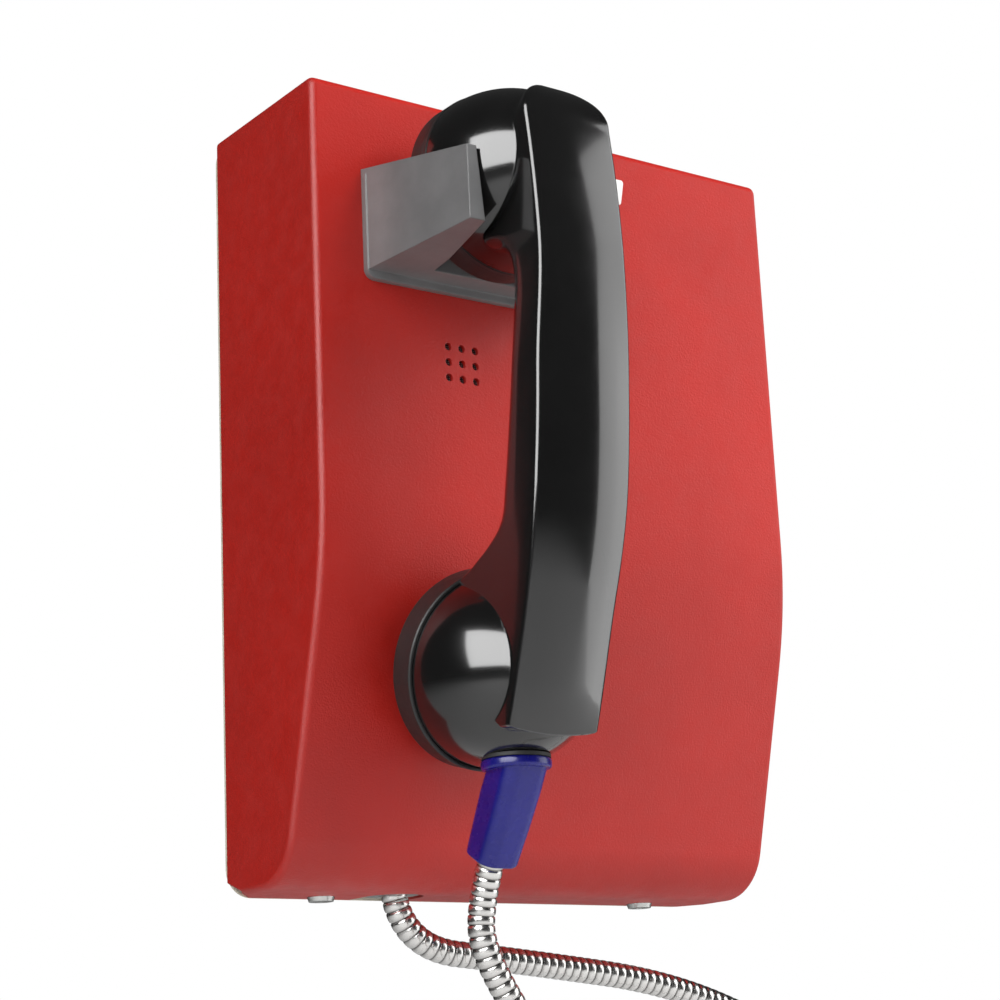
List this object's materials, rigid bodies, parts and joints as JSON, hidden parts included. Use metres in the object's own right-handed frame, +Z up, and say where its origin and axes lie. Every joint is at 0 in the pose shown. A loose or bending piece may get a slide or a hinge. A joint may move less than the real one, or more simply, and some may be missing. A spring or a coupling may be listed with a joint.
{
  "type": "wall telephone",
  "caption": "Slim wall telephone: steel housing with a sloping lower front, hook cradle, one-piece handset and armoured cord.",
  "frame": {"origin": "centre of the four wall screw holes, on the rear face of the back plate", "axes": "+X to the right as seen from the front, +Y into the wall, +Z up"},
  "size_m": [0.2416, 0.1336, 0.4465],
  "materials": {
    "red_powder_coat": "satin powder coat with fine orange peel",
    "seal_foam": "cream closed-cell bead",
    "zinc_plate": "zinc plated",
    "stainless": "machined stainless",
    "black_rubber": "matt moulded rubber",
    "label_film": "blank white film",
    "cradle_black": "satin black",
    "white_acetal": "smooth acetal",
    "switch_plastic": "moulded black plastic",
    "screen_mesh": "fine woven mesh",
    "brass": "turned brass",
    "board_green": "solder resist over glass laminate",
    "component_black": "moulded epoxy",
    "component_can": "sleeved can",
    "terminal_green": "moulded nylon",
    "cord_steel": "bright stainless hose",
    "handset_black": "glossy moulded plastic",
    "capsule_metal": "spun can",
    "boot_blue": "glossy soft moulding"
  },
  "bodies": {
    "housing": {"front_cover": "red_powder_coat", "edge_seal": "seal_foam", "back_plate": "zinc_plate", "hook_rail": "zinc_plate", "security_screws": "stainless", "captive_nuts": "zinc_plate", "line_grommet": "black_rubber", "blank_label": "label_film", "cradle": "cradle_black", "cradle_screws": "stainless", "switch_bracket": "zinc_plate", "plunger_spring": "stainless", "hook_switch": "switch_plastic", "switch_screws": "stainless", "sounder_screen": "screen_mesh", "sounder": "switch_plastic", "sounder_clamp": "zinc_plate", "clamp_studs": "zinc_plate", "clamp_nuts": "zinc_plate", "board_standoffs": "brass", "circuit_board": "board_green", "board_screws": "stainless", "line_transformer": "component_black", "board_capacitors": "component_can", "line_chips": "component_black", "terminal_block": "terminal_green", "terminal_screws": "stainless", "earth_stud": "brass", "earth_nut": "brass", "cord_bush": "stainless", "bush_nut": "zinc_plate", "armoured_cord": "cord_steel"},
    "handset": {"handset_body": "handset_black", "ear_cap": "handset_black", "mouth_cap": "handset_black", "receiver_gasket": "black_rubber", "receiver_capsule": "capsule_metal", "microphone_gasket": "black_rubber", "microphone_capsule": "capsule_metal", "boot_washer": "black_rubber", "cord_boot": "boot_blue", "cord_clamp": "zinc_plate", "clamp_screws": "stainless"},
    "plunger": {"hook_plunger": "white_acetal"}
  },
  "joints": [
    {"name": "handset_lift", "type": "slide", "parent": "housing", "child": "handset", "axis": [0, -0.2079, 0.9781], "range_m": [0, 0.06], "deforming": ["armoured_cord"]},
    {"name": "plunger_slide", "type": "slide", "parent": "housing", "child": "plunger", "axis": [0, -1, 0], "range_m": [0, 0.003], "deforming": ["plunger_spring"]}
  ],
  "couplings": [
    {"joint": "plunger_slide", "follows": "handset_lift", "ratio": 0.05}
  ]
}
